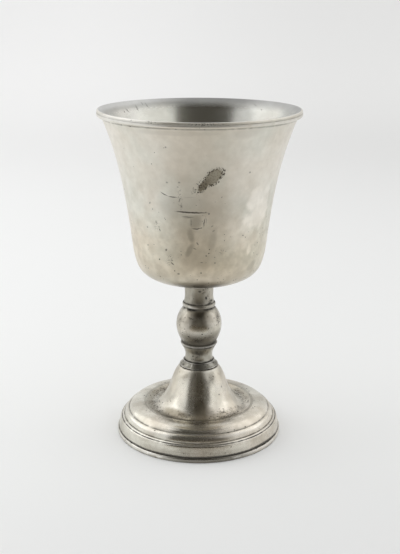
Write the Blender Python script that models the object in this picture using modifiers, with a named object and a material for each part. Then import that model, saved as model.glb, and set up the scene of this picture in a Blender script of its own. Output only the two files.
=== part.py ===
"""A cast pewter chalice: a flared bowl on a knopped hollow stem and a domed, moulded foot.

Every piece is a turned casting about the Z axis, modelled from its own seat upwards and stacked on the one
below. Metres, +Z up, origin on the table at the centre of the foot.
"""

import math

import bmesh
import bpy

# Clearance that solder fills between two joined pieces
SOLDER_FILM = 0.0003

# Base ring: the bead that the foot stands on
BASE_RING_OVERHANG = 0.0007
BASE_RING_WIDTH = 0.0028
BASE_RING_HEIGHT = 0.0023
BASE_RING_EDGE = 0.0007

# Foot dish: skirt, bead, ovolo and crown, from the bottom edge upwards
SKIRT_FOOT_RADIUS = 0.0426
SKIRT_FLARE = 0.0010
SKIRT_HEIGHT = 0.0049
FILLET_WIDTH = 0.0008
FILLET_RISE = 0.0008
BEAD_WIDTH = 0.0013
BEAD_RISE = 0.0007
OVOLO_WIDTH = 0.0025
OVOLO_RISE = 0.0034
CROWN_SHARE = 0.5
CROWN_RISE = 0.0028
CROWN_SLOPE = 10.0
DISH_WALL = 0.0021
DISH_HOLE_RADIUS = 0.0195

# Trumpet: the bell-shaped rise from the dish to the stem
FLANGE_RADIUS = 0.0276
FLANGE_THICKNESS = 0.0021
VALLEY_RADIUS = 0.0243
VALLEY_DEPTH = 0.0011
FLARE_RADIUS = 0.0196
FLARE_RISE = 0.0028
FLARE_SLOPE = 48.0
SHOULDER_RADIUS = 0.0144
SHOULDER_RISE = 0.0104
SHOULDER_SLOPE = 72.0
TRUMPET_TOP_RADIUS = 0.0100
TRUMPET_TOP_RISE = 0.0083
TRUMPET_WALL = 0.0020
TRUMPET_CAP = 0.0024

# Solder that fills the groove round the trumpet's flange
FLANGE_SOLDER_WIDTH = 0.0008

# Joint collar: the ring between trumpet and stem
COLLAR_FOOT_RADIUS = 0.0101
COLLAR_TOP_RADIUS = 0.0083
COLLAR_HEIGHT = 0.0029
COLLAR_EDGE = 0.0006
COLLAR_RECESS = 0.0003

# Stem: spigot, spool, cup, ball knop, collar bead and neck, from the bottom upwards
SPIGOT_RADIUS = 0.0062
SPIGOT_END = 0.0005
STEM_FOOT_RADIUS = 0.0079
SPOOL_RADIUS = 0.0071
SPOOL_HEIGHT = 0.0029
CUP_RADIUS = 0.0096
CUP_HEIGHT = 0.0061
CUP_LIP = 0.0007
BALL_FOOT_RADIUS = 0.0086
BALL_RADIUS = 0.0118
BALL_LOWER_HEIGHT = 0.0097
BALL_UPPER_HEIGHT = 0.0096
BALL_TOP_RADIUS = 0.0078
COLLAR_BEAD_RADIUS = 0.0086
COLLAR_BEAD_HEIGHT = 0.0024
NECK_FOOT_RADIUS = 0.0079
NECK_RADIUS = 0.0076
NECK_HEIGHT = 0.0103
STEM_WALL = 0.0034

# Vertical seam where the two cast halves of the stem are soldered, seen from above
SEAM_TURN = 25.0
SEAM_FILM = 0.0002

# Solder fillet round the neck, under the bowl
NECK_SOLDER_WIDTH = 0.0026
NECK_SOLDER_HEIGHT = 0.0014

# Bowl: pad, rounded heel, waist and flared lip, from the bottom upwards
PAD_RADIUS = 0.0105
HEEL_RADIUS = 0.0317
HEEL_HEIGHT = 0.0108
HEEL_SLOPE = 112.0
WAIST_RADIUS = 0.0350
WAIST_HEIGHT = 0.0293
WAIST_SLOPE = 98.0
LIP_NECK_RADIUS = 0.0481
LIP_NECK_HEIGHT = 0.0846
LIP_NECK_SLOPE = 113.0
LIP_RADIUS = 0.0505
LIP_HEIGHT = 0.0040
LIP_FLAT = 0.0016
LIP_EDGE = 0.0008
BOWL_WALL = 0.0019

# Facets round the axis
BOWL_FACETS = 48
FOOT_FACETS = 44
STEM_FACETS = 30

PEWTER = (0.58, 0.56, 0.51, 1.0)
WORN_PEWTER = (0.47, 0.45, 0.40, 1.0)
SOLDER_GREY = (0.33, 0.32, 0.29, 1.0)


def sweep(start, heading, end, end_heading, steps):
    """Points after start, up to end, on a smooth curve that leaves and arrives at the given headings.

    Points are (radius, height). A heading of 0 degrees runs straight out, 90 straight down, 180 straight in.
    """
    turn = math.radians(end_heading - heading)
    reach = math.dist(start, end) / (3 * math.cos(turn / 4) ** 2)
    away, back = math.radians(heading), math.radians(end_heading)
    pull = (start[0] + reach * math.cos(away), start[1] - reach * math.sin(away))
    draw = (end[0] - reach * math.cos(back), end[1] + reach * math.sin(back))
    points = []
    for step in range(1, steps + 1):
        t = step / steps
        weights = ((1 - t) ** 3, 3 * t * (1 - t) ** 2, 3 * t**2 * (1 - t), t**3)
        corners = (start, pull, draw, end)
        points.append(tuple(sum(w * c[axis] for w, c in zip(weights, corners)) for axis in (0, 1)))
    return points


def inset(path, wall):
    """The path moved by one wall towards the inside of a shell, which lies to its right going down."""
    moved = []
    for index, (radius, height) in enumerate(path):
        before = path[max(index - 1, 0)]
        after = path[min(index + 1, len(path) - 1)]
        run, rise = after[0] - before[0], after[1] - before[1]
        length = math.hypot(run, rise)
        moved.append((radius + wall * rise / length, height - wall * run / length))
    return moved


def pewter(name, colour, roughness):
    material = bpy.data.materials.new(name)
    material.use_nodes = True
    shader = material.node_tree.nodes["Principled BSDF"]
    shader.inputs["Base Color"].default_value = colour
    shader.inputs["Metallic"].default_value = 1.0
    shader.inputs["Roughness"].default_value = roughness
    return material


def turned(name, outline, facets, material, seat, turn=0.0):
    """A casting turned about Z from an outline that runs down its outer side, standing at the height seat.

    An outline that starts and ends on the axis stays open there, and any other is closed.
    """
    count = len(outline)
    on_axis = outline[0][0] == 0.0 and outline[-1][0] == 0.0
    edges = [(i, (i + 1) % count) for i in range(count - 1 if on_axis else count)]
    profile = bpy.data.meshes.new(name)
    profile.from_pydata([(radius, 0.0, height) for radius, height in outline], edges, [])
    piece = bpy.data.objects.new(name, profile)
    PARTS.objects.link(piece)
    piece.location.z = seat
    piece.rotation_euler.z = turn
    screw = piece.modifiers.new("Turn", "SCREW")
    screw.axis = "Z"
    screw.angle = 2 * math.pi
    screw.steps = facets
    screw.render_steps = facets
    screw.use_merge_vertices = True
    screw.merge_threshold = 0.000001
    screw.use_smooth_shade = True
    profile.materials.append(material)
    return piece


def base_ring(seat):
    """A flat-bottomed ring with rounded outer edges."""
    outer = SKIRT_FOOT_RADIUS + BASE_RING_OVERHANG
    inner = outer - BASE_RING_WIDTH
    flat = outer - BASE_RING_EDGE
    outline = [(inner, BASE_RING_HEIGHT), (flat, BASE_RING_HEIGHT)]
    outline += sweep(outline[-1], 0, (outer, BASE_RING_HEIGHT - BASE_RING_EDGE), 90, 2)
    outline += [(outer, BASE_RING_EDGE)]
    outline += sweep(outline[-1], 90, (flat, 0.0), 180, 2)
    outline += [(inner, 0.0)]
    return turned("base_ring", outline, FOOT_FACETS, FOOT_METAL, seat)


def recess_radius():
    """Radius of the recess in the dish that takes the trumpet's flange and the solder round it."""
    return FLANGE_RADIUS + FLANGE_SOLDER_WIDTH + 2 * SOLDER_FILM


def dish_corners():
    """Corners of the dish's outside, from the bottom edge up to the recess, as (radius, height)."""
    foot = (SKIRT_FOOT_RADIUS, 0.0)
    skirt = (foot[0] - SKIRT_FLARE, SKIRT_HEIGHT)
    fillet = (skirt[0] - FILLET_WIDTH, skirt[1] + FILLET_RISE)
    bead = (fillet[0] - BEAD_WIDTH, fillet[1] + BEAD_RISE)
    ovolo = (bead[0] - OVOLO_WIDTH, bead[1] + OVOLO_RISE)
    half_slope = math.tan(math.radians(CROWN_SLOPE / 2))
    crown_radius = recess_radius() + CROWN_SHARE * (ovolo[0] - recess_radius())
    crown = (crown_radius, ovolo[1] + CROWN_RISE)
    edge = (recess_radius(), crown[1] + (crown_radius - recess_radius()) * half_slope)
    return foot, skirt, fillet, bead, ovolo, crown, edge


def flange_seat():
    """Height of the recess's floor above the dish's bottom edge."""
    return dish_corners()[-1][1] - FLANGE_THICKNESS - SOLDER_FILM


def foot_dish(seat):
    """The moulded skirt and crown of the foot, hollow underneath, with a recess for the trumpet."""
    foot, skirt, fillet, bead, ovolo, crown, edge = dish_corners()
    floor = flange_seat()
    outline = [edge]
    outline += sweep(edge, 0, crown, CROWN_SLOPE, 3)
    outline += sweep(crown, CROWN_SLOPE, ovolo, 64, 4)
    outline += sweep(ovolo, 8, bead, 84, 4)
    outline += sweep(bead, 4, fillet, 84, 3)
    outline += sweep(fillet, 4, skirt, 80, 3)
    outline += [foot, (foot[0] - DISH_WALL, 0.0), (skirt[0] - DISH_WALL, skirt[1])]
    outline += [(ovolo[0] - DISH_WALL, bead[1]), (crown[0], floor - DISH_WALL)]
    outline += [(DISH_HOLE_RADIUS, floor - DISH_WALL), (DISH_HOLE_RADIUS, floor), (edge[0], floor)]
    return turned("foot_dish", outline, FOOT_FACETS, FOOT_METAL, seat)


def trumpet_height():
    return FLANGE_THICKNESS - VALLEY_DEPTH + FLARE_RISE + SHOULDER_RISE + TRUMPET_TOP_RISE


def trumpet(seat):
    """A bell with a dished flange below and a pierced cap above, through which the stem's spigot passes."""
    height = trumpet_height()
    shoulder = height - TRUMPET_TOP_RISE
    flare = shoulder - SHOULDER_RISE
    bore = SPIGOT_RADIUS + SOLDER_FILM
    bell = [(TRUMPET_TOP_RADIUS, height)]
    bell += sweep(bell[-1], 45, (SHOULDER_RADIUS, shoulder), SHOULDER_SLOPE, 4)
    bell += sweep(bell[-1], SHOULDER_SLOPE, (FLARE_RADIUS, flare), FLARE_SLOPE, 5)
    flange = sweep(bell[-1], FLARE_SLOPE, (VALLEY_RADIUS, FLANGE_THICKNESS - VALLEY_DEPTH), 0, 4)
    flange += sweep(flange[-1], 0, (FLANGE_RADIUS, FLANGE_THICKNESS), -26, 3)
    under_cap = height - TRUMPET_CAP
    hollow = [p for p in inset(bell, TRUMPET_WALL) if 0.0 < p[1] < under_cap]
    outline = [(bore, height)] + bell + flange
    outline += [(FLANGE_RADIUS, 0.0), (hollow[-1][0], 0.0)]
    outline += hollow[::-1]
    outline += [(hollow[0][0], under_cap), (bore, under_cap)]
    return turned("trumpet", outline, FOOT_FACETS, FOOT_METAL, seat)


def flange_solder(seat):
    """Solder run into the groove between the trumpet's flange and the dish."""
    inner = FLANGE_RADIUS + SOLDER_FILM
    outer = inner + FLANGE_SOLDER_WIDTH
    outline = [(inner, FLANGE_THICKNESS), (outer, FLANGE_THICKNESS), (outer, 0.0), (inner, 0.0)]
    return turned("flange_solder", outline, FOOT_FACETS, SOLDER, seat)


def joint_collar(seat):
    """A tapered ring with a raised edge above and below, threaded on the stem's spigot."""
    bore = SPIGOT_RADIUS + SOLDER_FILM
    half = COLLAR_EDGE / 2
    top_edge, foot_edge = COLLAR_TOP_RADIUS - half, COLLAR_FOOT_RADIUS - half
    outline = [(bore, COLLAR_HEIGHT), (top_edge, COLLAR_HEIGHT)]
    outline += sweep(outline[-1], 0, (COLLAR_TOP_RADIUS, COLLAR_HEIGHT - half), 90, 2)
    outline += [(COLLAR_TOP_RADIUS - COLLAR_RECESS, COLLAR_HEIGHT - COLLAR_EDGE)]
    outline += [(COLLAR_FOOT_RADIUS - COLLAR_RECESS - half, COLLAR_EDGE)]
    outline += sweep((foot_edge, COLLAR_EDGE), 0, (COLLAR_FOOT_RADIUS, half), 90, 2)
    outline += [(foot_edge, 0.0), (bore, 0.0)]
    return turned("joint_collar", outline, STEM_FACETS, STEM_METAL, seat)


def stem_levels():
    """Heights of the stem's turnings above its foot, which stands on the joint collar."""
    spool = SPOOL_HEIGHT
    cup = spool + CUP_HEIGHT
    ball_foot = cup + CUP_LIP
    ball = ball_foot + BALL_LOWER_HEIGHT
    ball_top = ball + BALL_UPPER_HEIGHT
    bead_top = ball_top + COLLAR_BEAD_HEIGHT
    return spool, cup, ball_foot, ball, ball_top, bead_top, bead_top + NECK_HEIGHT


def spigot_length():
    """The spigot reaches through the joint collar and the trumpet's cap, and a little beyond."""
    return 2 * SOLDER_FILM + COLLAR_HEIGHT + TRUMPET_CAP + SPIGOT_END


def stem_outline():
    """The turned outside of the stem and the hollow that runs through it."""
    spool, cup, ball_foot, ball, ball_top, bead_top, top = stem_levels()
    bead_middle = (ball_top + bead_top) / 2
    lip = CUP_RADIUS - CUP_LIP / 2
    outside = [(NECK_RADIUS, top)]
    outside += sweep(outside[-1], 90, (NECK_FOOT_RADIUS, bead_top), 72, 3)
    outside += sweep(outside[-1], 0, (COLLAR_BEAD_RADIUS, bead_middle), 90, 2)
    outside += sweep(outside[-1], 90, (BALL_TOP_RADIUS, ball_top), 170, 2)
    outside += sweep(outside[-1], 44, (BALL_RADIUS, ball), 90, 5)
    outside += sweep(outside[-1], 90, (BALL_FOOT_RADIUS, ball_foot), 124, 5)
    outside += sweep(outside[-1], 30, (CUP_RADIUS, cup + CUP_LIP / 2), 90, 2)
    outside += [(lip, cup)]
    outside += sweep(outside[-1], 108, (SPOOL_RADIUS, spool), 90, 5)
    outside += sweep(outside[-1], 90, (STEM_FOOT_RADIUS, 0.0), 40, 3)
    outside += [(SPIGOT_RADIUS, 0.0), (SPIGOT_RADIUS, -spigot_length())]
    neck_bore, spool_bore = NECK_RADIUS - STEM_WALL, SPOOL_RADIUS - STEM_WALL
    cavity = (BALL_RADIUS - STEM_WALL, ball)
    hollow = [(neck_bore, top), (neck_bore, bead_top)]
    hollow += sweep(hollow[-1], 30, cavity, 90, 4)
    hollow += sweep(cavity, 90, (spool_bore, cup), 150, 4)
    hollow += [(spool_bore, -spigot_length())]
    return outside + hollow[::-1]


def stem_half(name, side, seat):
    """One cast half of the stem: the whole turning, cut back to half the solder film from the seam."""
    facet = 2 * math.pi / STEM_FACETS
    seam = math.radians(-90 - SEAM_TURN)
    half = turned(name, stem_outline(), STEM_FACETS, STEM_METAL, seat, seam + facet / 2)
    height = spigot_length() + stem_levels()[-1]
    size = 2 * height
    away = size / 2 - SEAM_FILM / 2
    across = seam - side * math.pi / 2
    place = (away * math.cos(across), away * math.sin(across), seat + height / 2)
    block = bmesh.new()
    bmesh.ops.create_cube(block, size=size)
    mesh = bpy.data.meshes.new(name + "_cutter")
    block.to_mesh(mesh)
    block.free()
    cutter = bpy.data.objects.new(name + "_cutter", mesh)
    CUTTERS.objects.link(cutter)
    cutter.location = place
    cutter.rotation_euler.z = seam
    cutter.hide_render = True
    cutter.display_type = "WIRE"
    cut = half.modifiers.new("Seam", "BOOLEAN")
    cut.operation = "DIFFERENCE"
    cut.object = cutter
    return half


def neck_solder(seat):
    """A hollow-faced fillet of solder round the top of the neck, hung from the height seat."""
    inner = NECK_RADIUS + SOLDER_FILM
    outline = [(inner, 0.0), (inner + NECK_SOLDER_WIDTH, 0.0)]
    outline += sweep(outline[-1], 170, (inner, -NECK_SOLDER_HEIGHT), 100, 4)
    return turned("neck_solder", outline, STEM_FACETS, SOLDER, seat)


def bowl(seat):
    """A thin cast shell with a flat pad underneath and a rounded, moulded lip."""
    lip_top = LIP_NECK_HEIGHT + LIP_HEIGHT
    wall = [(LIP_NECK_RADIUS, LIP_NECK_HEIGHT)]
    wall += sweep(wall[-1], LIP_NECK_SLOPE, (WAIST_RADIUS, WAIST_HEIGHT), WAIST_SLOPE, 8)
    wall += sweep(wall[-1], WAIST_SLOPE, (HEEL_RADIUS, HEEL_HEIGHT), HEEL_SLOPE, 3)
    wall += sweep(wall[-1], HEEL_SLOPE, (PAD_RADIUS, 0.0), 164, 6)
    inside = inset(wall, BOWL_WALL)
    inside[-1] = (inside[-1][0], BOWL_WALL)
    lip_inner = LIP_RADIUS - LIP_EDGE - LIP_FLAT
    outline = [(0.0, BOWL_WALL)] + inside[::-1]
    outline += [(lip_inner, lip_top), (lip_inner + LIP_FLAT, lip_top)]
    outline += sweep(outline[-1], 0, (LIP_RADIUS, lip_top - LIP_EDGE), 90, 3)
    outline += sweep(outline[-1], 90, wall[0], 170, 4)
    outline += wall[1:] + [(0.0, 0.0)]
    return turned("bowl", outline, BOWL_FACETS, BOWL_METAL, seat)


def collection(name):
    made = bpy.data.collections.new(name)
    bpy.context.scene.collection.children.link(made)
    return made


for old in list(bpy.data.objects):
    bpy.data.objects.remove(old)

PARTS = collection("chalice")
CUTTERS = collection("cutters")
BOWL_METAL = pewter("bowl_pewter", PEWTER, 0.34)
STEM_METAL = pewter("stem_pewter", WORN_PEWTER, 0.30)
FOOT_METAL = pewter("foot_pewter", PEWTER, 0.28)
SOLDER = pewter("solder", SOLDER_GREY, 0.55)

dish_seat = BASE_RING_HEIGHT + SOLDER_FILM
trumpet_seat = dish_seat + flange_seat() + SOLDER_FILM
collar_seat = trumpet_seat + trumpet_height() + SOLDER_FILM
stem_seat = collar_seat + COLLAR_HEIGHT + SOLDER_FILM
bowl_seat = stem_seat + stem_levels()[-1] + SOLDER_FILM

pieces = [
    base_ring(0.0),
    foot_dish(dish_seat),
    trumpet(trumpet_seat),
    flange_solder(trumpet_seat),
    joint_collar(collar_seat),
    stem_half("stem_half_left", 1, stem_seat),
    stem_half("stem_half_right", -1, stem_seat),
    neck_solder(bowl_seat - SOLDER_FILM),
    bowl(bowl_seat),
]
chalice = bpy.data.objects.new("chalice_base", None)
PARTS.objects.link(chalice)
for piece in pieces:
    piece.parent = chalice
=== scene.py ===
import math

import bmesh
import bpy
import numpy as np
from mathutils import Matrix, Vector, noise


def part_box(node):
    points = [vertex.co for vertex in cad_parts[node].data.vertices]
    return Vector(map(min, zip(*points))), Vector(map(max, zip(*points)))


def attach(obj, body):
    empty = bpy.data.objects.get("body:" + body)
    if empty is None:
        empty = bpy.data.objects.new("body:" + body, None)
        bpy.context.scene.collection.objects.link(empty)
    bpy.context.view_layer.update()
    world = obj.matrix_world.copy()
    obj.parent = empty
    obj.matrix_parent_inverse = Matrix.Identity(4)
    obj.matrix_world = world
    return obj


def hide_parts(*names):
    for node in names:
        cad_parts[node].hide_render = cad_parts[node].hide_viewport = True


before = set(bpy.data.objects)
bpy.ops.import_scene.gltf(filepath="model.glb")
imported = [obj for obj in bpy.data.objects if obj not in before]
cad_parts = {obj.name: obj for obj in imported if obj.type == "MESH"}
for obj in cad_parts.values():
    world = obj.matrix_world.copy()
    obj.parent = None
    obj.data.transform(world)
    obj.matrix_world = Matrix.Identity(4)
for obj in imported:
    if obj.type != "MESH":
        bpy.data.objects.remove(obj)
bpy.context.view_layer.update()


# Base ring: the bead of cast pewter that the foot stands on, turned with rounded edges
# and soldered under the skirt. Its outer edge is rubbed bright and knocked, with painted highlights on
# its left, and painted shadow lies in the creases above and below it.

def sweep(start, heading, end, end_heading, steps):
    """Points after start, up to end, on a curve that leaves and arrives at these headings in degrees:
    0 runs outwards, 90 down and 180 inwards. A point is (radius, height) in metres."""
    bend = math.radians(end_heading - heading)
    reach = math.dist(start, end) / (3 * math.cos(bend / 4) ** 2)
    away, back = math.radians(heading), math.radians(end_heading)
    pull = (start[0] + reach * math.cos(away), start[1] - reach * math.sin(away))
    draw = (end[0] - reach * math.cos(back), end[1] + reach * math.sin(back))
    ends = (start, pull, draw, end)
    path = []
    for k in range(1, steps + 1):
        t = k / steps
        weights = ((1 - t) ** 3, 3 * t * (1 - t) ** 2, 3 * t * t * (1 - t), t**3)
        path.append(tuple(sum(w * p[i] for w, p in zip(weights, ends)) for i in (0, 1)))
    return path


def straight(start, end, steps):
    """Points after start, up to end, on a straight stretch."""
    return [tuple(a + (b - a) * k / steps for a, b in zip(start, end)) for k in range(1, steps + 1)]


def stood(mesh):
    """An object of this mesh, under the mesh's own name, in the scene."""
    piece = bpy.data.objects.new(mesh.name, mesh)
    bpy.context.scene.collection.objects.link(piece)
    return piece


def turned(name, outline, facets, creases=(), edges=(), start=0.0, turn=360.0, inside=None):
    """A casting turned about Z from an outline that runs down its outer side. Its mesh keeps, for the
    material, how far along the outline each point lies, how near a crease or a rubbed edge, and whether it
    is inside. A crease is darkened with dirt and painted shade, an edge lightened with wear and a painted
    highlight. A crease or an edge is a point of the outline, how wide its darkening or lightening spreads,
    and how heavy it is."""
    whole = turn == 360.0
    angles = [math.radians(start + turn * k / facets) for k in range(facets if whole else facets + 1)]
    points = [(r * math.cos(a), r * math.sin(a), z) for a in angles for r, z in outline]
    count = len(outline)
    pairs = list(zip(range(count), range(1, count)))
    if outline[0][0] > 0.0:
        pairs.append((count - 1, 0))
    axis = {i for i, (r, z) in enumerate(outline) if r == 0.0}
    faces = []
    for k in range(facets):
        here, there = k * count, (k + 1) % len(angles) * count
        for i, j in pairs:
            corners = [here + i, here + j, there + j, there + i]
            if i in axis:
                corners = [i, here + j, there + j]
            elif j in axis:
                corners = [here + i, j, there + i]
            faces.append(corners)
    if not whole:
        faces += [list(range(count))[::-1], list(range(facets * count, (facets + 1) * count))]
    mesh = bpy.data.meshes.new(name)
    mesh.from_pydata(points, [], faces)
    reach = np.concatenate([[0.0], np.cumsum([math.dist(a, b) for a, b in zip(outline, outline[1:])])])
    spread = {"groove": [0.0] * count, "edge": [0.0] * count}
    for attribute, listed in (("groove", creases), ("edge", edges)):
        for centre, width, weight in listed:
            for index, point in enumerate(outline):
                fall = weight * math.exp(-((math.dist(point, centre) / width) ** 2))
                spread[attribute][index] = max(spread[attribute][index], fall)
    within = [1.0 if inside and index <= inside else 0.0 for index in range(count)]
    for attribute, values in (("along", reach), ("inside", within), *spread.items()):
        layer = mesh.attributes.new(attribute, "FLOAT", "POINT")
        layer.data.foreach_set("value", np.tile(np.asarray(values, np.float32), len(angles)))
    if axis:
        trimmed = bmesh.new()
        trimmed.from_mesh(mesh)
        loose = [vertex for vertex in trimmed.verts if not vertex.link_faces]
        bmesh.ops.delete(trimmed, geom=loose, context="VERTS")
        trimmed.to_mesh(mesh)
        trimmed.free()
    mesh.shade_smooth()
    mesh.set_sharp_from_angle(angle=math.radians(38))
    return stood(mesh)


def is_socket(value):
    """Whether a value is a node's socket rather than a number or a colour."""
    return hasattr(value, "is_linked")


def place_node(tree, kind, **values):
    """A node of this kind in a tree. A value sets the node's own property, or the input of that name."""
    made = tree.nodes.new("ShaderNode" + kind)
    for key, value in values.items():
        if hasattr(made, key):
            setattr(made, key, value)
        else:
            made.inputs[key.replace("_", " ")].default_value = value
    return made


def feed(socket, value):
    """Links an input to a socket, or sets it to a number or a colour."""
    if is_socket(value):
        socket.id_data.links.new(value, socket)
    else:
        socket.default_value = (*value, 1.0) if isinstance(value, tuple) else value


def node_near(values, kind, **settings):
    """A node of this kind in the tree that the first socket among these values belongs to."""
    return place_node(next(filter(is_socket, values)).id_data, kind, **settings)


def worked(operation, *values, clamp=False):
    """A Math node on sockets or numbers, giving its output."""
    made = node_near(values, "Math", operation=operation, use_clamp=clamp)
    for socket, value in zip(made.inputs, values):
        feed(socket, value)
    return made.outputs[0]


def times(first, *others):
    """The product of sockets or numbers."""
    for other in others:
        first = worked("MULTIPLY", first, other)
    return first


def most(first, *others):
    """The largest of sockets or numbers."""
    for other in others:
        first = worked("MAXIMUM", first, other)
    return first


def scaled(value, factor, base, clamp=False):
    """A value times a factor, added to a base."""
    return worked("MULTIPLY_ADD", value, factor, base, clamp=clamp)


def inverse(value, clamp=False):
    """What a value leaves of 1."""
    return worked("SUBTRACT", 1.0, value, clamp=clamp)


def ramp(value, low, high):
    """A soft step of a value, 0 at low and 1 at high."""
    made = place_node(value.id_data, "MapRange", interpolation_type="SMOOTHSTEP", From_Min=low, From_Max=high)
    feed(made.inputs["Value"], value)
    return made.outputs["Result"]


def mix(share, first, second, blend="MIX"):
    """A colour mix of sockets or colours, giving its output."""
    made = node_near((share, first, second), "Mix", data_type="RGBA", blend_type=blend)
    sockets = {socket.identifier: socket for socket in made.inputs}
    for name, value in (("Factor_Float", share), ("A_Color", first), ("B_Color", second)):
        feed(sockets[name], value)
    return next(socket for socket in made.outputs if socket.identifier == "Result_Color")


def axes_of(tree):
    """The X, Y and Z of a point in its object's own frame."""
    made = place_node(tree, "SeparateXYZ")
    feed(made.inputs[0], place_node(tree, "TexCoord").outputs["Object"])
    return made.outputs["X"], made.outputs["Y"], made.outputs["Z"]


def noise_at(spot, scale, detail, roughness=0.5):
    """The value of a noise at a spot."""
    made = place_node(spot.id_data, "TexNoise", Scale=scale, Detail=detail, Roughness=roughness)
    feed(made.inputs["Vector"], spot)
    return made.outputs["Fac"]


def cells_at(spot, scale):
    """How far a spot lies from the nearest of many scattered points, and two random values of that point."""
    made = place_node(spot.id_data, "TexVoronoi", Scale=scale)
    feed(made.inputs["Vector"], spot)
    values = place_node(spot.id_data, "SeparateColor")
    feed(values.inputs[0], made.outputs["Color"])
    return made.outputs["Distance"], values.outputs["Red"], values.outputs["Green"]


def new_group(name, inputs, outputs):
    """An empty node group with sockets, named by kind, and the sockets of its two end nodes."""
    group = bpy.data.node_groups.new(name, "ShaderNodeTree")
    for in_out, kinds in (("INPUT", inputs), ("OUTPUT", outputs)):
        for kind, sockets in kinds.items():
            for socket in sockets:
                group.interface.new_socket(name=socket, in_out=in_out, socket_type="NodeSocket" + kind)
    return group, group.nodes.new("NodeGroupInput").outputs, group.nodes.new("NodeGroupOutput").inputs


aged, given, gives = new_group(
    "aged_pewter",
    {"Color": ("Bright", "Dull", "Grime_and_Shade"),
     "Float": ("Groove", "Along", "Pitting", "Roughness", "Stain", "Corroded", "Edge", "Bare")},
    {"Color": ("Color",), "Float": ("Roughness", "Metal", "Height")},
)
spot = place_node(aged, "TexCoord").outputs["Object"]
cloud = noise_at(spot, 52.0, 3.0, 0.55)
mottle = noise_at(spot, 380.0, 5.0, 0.6)
grain = noise_at(spot, 2600.0, 2.0)
field = noise_at(spot, 95.0, 2.0)
patches = noise_at(spot, 150.0, 3.0, 0.6)
drift = noise_at(spot, 38.0, 2.0)
fleck = noise_at(spot, 1500.0, 3.0, 0.6)
x, y, z = axes_of(aged)
tool_track = place_node(aged, "CombineXYZ")
feed(tool_track.inputs["X"], times(given["Along"], 2600.0))
feed(tool_track.inputs["Y"], times(worked("ARCTAN2", x, y), 1.6))
lathe = noise_at(tool_track.outputs[0], 1.0, 3.0, 0.7)
pit_distance, pit_chance, pit_spread = cells_at(spot, 680.0)
likely = times(ramp(field, 0.38, 0.66), given["Pitting"])
depth = inverse(worked("DIVIDE", pit_distance, scaled(pit_spread, 0.22, 0.10)), clamp=True)
pit = times(worked("LESS_THAN", pit_chance, likely), ramp(depth, 0.0, 0.55))
speck_distance, speck_chance, speck_spread = cells_at(spot, 950.0)
eaten = most(times(given["Groove"], 0.5), times(given["Corroded"], 1.15))
eaten = times(eaten, ramp(patches, 0.28, 0.62))
depth = inverse(worked("DIVIDE", speck_distance, scaled(speck_spread, 0.40, 0.22)), clamp=True)
pit = most(pit, times(ramp(depth, 0.0, 0.5), worked("LESS_THAN", speck_chance, eaten)))
worn = scaled(mottle, 0.22, times(cloud, 0.80))
worn = scaled(patches, 0.25, worn)
tarnish = times(ramp(worn, 0.48, 0.84), given["Stain"])
skin = mix(tarnish, given["Bright"], given["Dull"])
hue = mix(ramp(drift, 0.36, 0.64), (0.985, 1.0, 0.98), (1.015, 0.99, 0.955))
skin = mix(1.0, skin, hue, "MULTIPLY")
# Edges are lighter as rubbed wear and as a painted highlight.
rubbed_and_highlit = times(given["Edge"], ramp(patches, 0.30, 0.56))
skin = mix(rubbed_and_highlit, skin, (0.90, 0.88, 0.835))
haze = times(given["Corroded"], ramp(patches, 0.20, 0.70))
skin = mix(times(haze, 0.58), skin, (0.16, 0.142, 0.112))
# Creases are darkened with painted shade as well as dirt, in the same dark colour as pits and crust.
broken = worked("ADD", mottle, patches)
groove_shade_and_dirt = worked("MULTIPLY", times(given["Groove"], 1.5), ramp(broken, 0.55, 1.15), clamp=True)
crease_shade_and_grime = most(times(pit, 0.92), groove_shade_and_dirt)
flaked = scaled(patches, 0.6, fleck)
crust = times(given["Corroded"], ramp(flaked, 0.85, 0.90))
crease_shade_and_grime = most(crease_shade_and_grime, times(crust, 0.96))
feed(gives["Color"], mix(crease_shade_and_grime, skin, given["Grime_and_Shade"]))
rough = scaled(tarnish, 0.16, given["Roughness"])
rough = scaled(mottle, 0.10, rough)
feed(gives["Roughness"], scaled(crease_shade_and_grime, 0.35, rough, clamp=True))
feed(gives["Metal"], times(given["Bare"], scaled(crease_shade_and_grime, -0.8, 1.0)))
relief = scaled(grain, 0.10, times(mottle, 0.35))
relief = scaled(lathe, 0.22, relief)
feed(gives["Height"], scaled(pit, -1.0, relief))


def new_look(name):
    """A material and the one shader that it starts with."""
    material = bpy.data.materials.new(name)
    material.use_nodes = True
    return material, material.node_tree.nodes["Principled BSDF"]


def pewter(name, bright, dull, roughness, pitting, stain, bare=0.95):
    """A pewter material on the shared aged skin, which other marks can still be added to."""
    material, shader = new_look(name)
    tree = material.node_tree
    skin = place_node(tree, "Group", node_tree=aged)
    # The dark colour serves pits and crust, and the painted shade in creases.
    for socket, value in (
        ("Bright", bright), ("Dull", dull), ("Grime_and_Shade", (0.030, 0.027, 0.021)), ("Roughness", roughness),
        ("Pitting", pitting), ("Stain", stain), ("Bare", bare),
    ):
        feed(skin.inputs[socket], value)
    for attribute in ("groove", "along", "edge"):
        reader = place_node(tree, "Attribute", attribute_name=attribute)
        feed(skin.inputs[attribute.capitalize()], reader.outputs["Fac"])
    bump = place_node(tree, "Bump", Strength=0.5, Distance=0.00012, name="Bump")
    feed(bump.inputs["Height"], skin.outputs["Height"])
    feed(shader.inputs["Normal"], bump.outputs["Normal"])
    for socket, source in (("Base Color", "Color"), ("Roughness", "Roughness"), ("Metallic", "Metal")):
        feed(shader.inputs[socket], skin.outputs[source])
    return material


def skin_of(material):
    """The shader and the aged skin of a pewter material."""
    nodes = material.node_tree.nodes
    skin = next(node for node in nodes if node.type == "GROUP" and node.node_tree == aged)
    return nodes["Principled BSDF"], skin


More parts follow.
